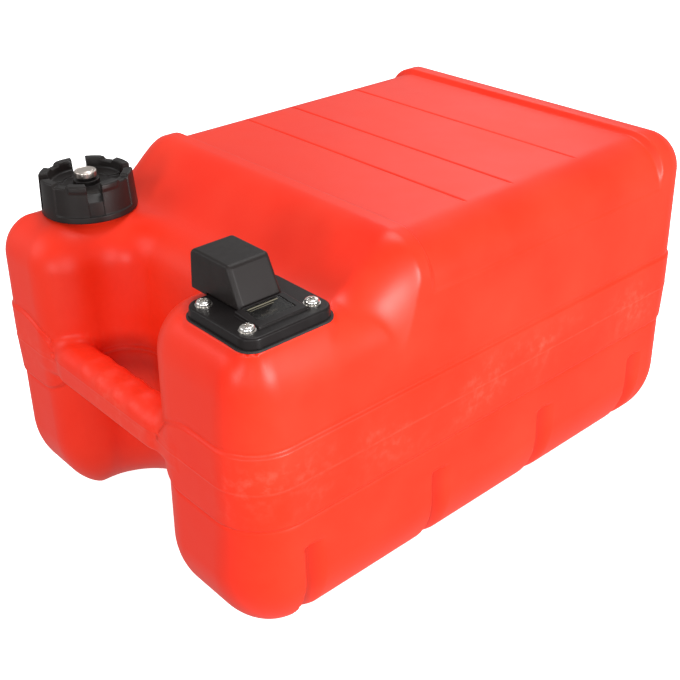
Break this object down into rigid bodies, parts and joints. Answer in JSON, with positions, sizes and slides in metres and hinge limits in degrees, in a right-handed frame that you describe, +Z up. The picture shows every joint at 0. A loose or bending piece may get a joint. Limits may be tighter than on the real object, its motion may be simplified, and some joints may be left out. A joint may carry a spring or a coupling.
{
  "type": "outboard fuel tank",
  "caption": "Portable outboard fuel tank with a carry handle across a hand recess, a vented screw cap, a level gauge with float, and a fuel outlet under a dust cap.",
  "frame": {"origin": "middle of the footprint, on the ground", "axes": "+Z up; the handle faces -Y; the filler cap is on -X and the fuel outlet on +X"},
  "size_m": [0.31, 0.452, 0.2737],
  "materials": {
    "red_polyethylene": "semi-gloss blow-moulded polyethylene, satin with soft highlights",
    "black_plastic": "moulded black plastic with a fine grain",
    "hood_plastic": "moulded charcoal plastic with a fine grain",
    "black_rubber": "matt nitrile rubber",
    "zinc_plated": "plated, slightly dull",
    "acetal": "natural acetal",
    "stainless": "bright stainless steel",
    "brass": "turned brass",
    "clear_plastic": "clear moulded plastic",
    "dial_black": "matt black",
    "pointer_white": "off-white plastic",
    "aluminium_strip": "drawn aluminium",
    "foam": "closed-cell fuel-proof foam",
    "spring_steel": "drawn spring wire",
    "filter_mesh": "fine nylon mesh"
  },
  "bodies": {
    "tank": {"tank_body": "red_polyethylene", "outlet_base": "black_plastic", "base_gasket": "black_rubber", "plate_screws": "stainless", "screw_washers": "stainless", "screw_inserts": "brass", "gauge_window": "clear_plastic", "gauge_dial": "dial_black", "gauge_frame": "aluminium_strip", "fuel_port": "brass", "port_ring": "black_rubber", "locating_pin": "stainless", "valve_plug": "brass", "check_spring": "spring_steel", "pickup_tube": "acetal", "pickup_filter": "filter_mesh"},
    "liner": {"cap_liner": "black_rubber"},
    "cap": {"cap_shell": "black_plastic"},
    "seal": {"vent_seal": "black_rubber"},
    "vent": {"vent_screw": "zinc_plated", "vent_stop": "acetal"},
    "hood": {"dust_cap": "hood_plastic"},
    "float": {"gauge_float": "foam", "float_follower": "acetal"},
    "ribbon": {"gauge_ribbon": "aluminium_strip", "gauge_pointer": "pointer_white"},
    "valve": {"check_ball": "stainless"}
  },
  "joints": [
    {"name": "cap_lift", "type": "slide", "parent": "tank", "child": "liner", "axis": [0, 0, 1], "range_m": [0, 0.009]},
    {"name": "cap_turn", "type": "hinge", "parent": "liner", "child": "cap", "pos_m": [-0.1076, -0.1636, 0.25], "axis": [0, 0, 1], "range_deg": [0, 720]},
    {"name": "vent_rise", "type": "slide", "parent": "cap", "child": "seal", "axis": [0, 0, 1], "range_m": [0, 0.003]},
    {"name": "vent_turn", "type": "hinge", "parent": "seal", "child": "vent", "pos_m": [-0.1076, -0.1636, 0.265], "axis": [0, 0, 1], "range_deg": [0, 1080]},
    {"name": "dust_cap_lift", "type": "slide", "parent": "tank", "child": "hood", "axis": [0, 0, 1], "range_m": [0, 0.035]},
    {"name": "float_slide", "type": "slide", "parent": "tank", "child": "float", "axis": [0, 0, 1], "range_m": [0, 0.17]},
    {"name": "ribbon_turn", "type": "hinge", "parent": "tank", "child": "ribbon", "pos_m": [0.1235, -0.179, 0.1], "axis": [0, 0, 1], "range_deg": [-120, 0]},
    {"name": "valve_lift", "type": "slide", "parent": "tank", "child": "valve", "axis": [0, 0, 1], "range_m": [0, 0.0015], "stiffness_N_per_m": 20, "springref_m": -0.005, "deforming": ["check_spring"]}
  ],
  "couplings": [
    {"joint": "cap_turn", "follows": "cap_lift", "rad_per_m": 1396.2},
    {"joint": "vent_turn", "follows": "vent_rise", "rad_per_m": 6283.1},
    {"joint": "ribbon_turn", "follows": "float_slide", "rad_per_m": -12.32}
  ]
}
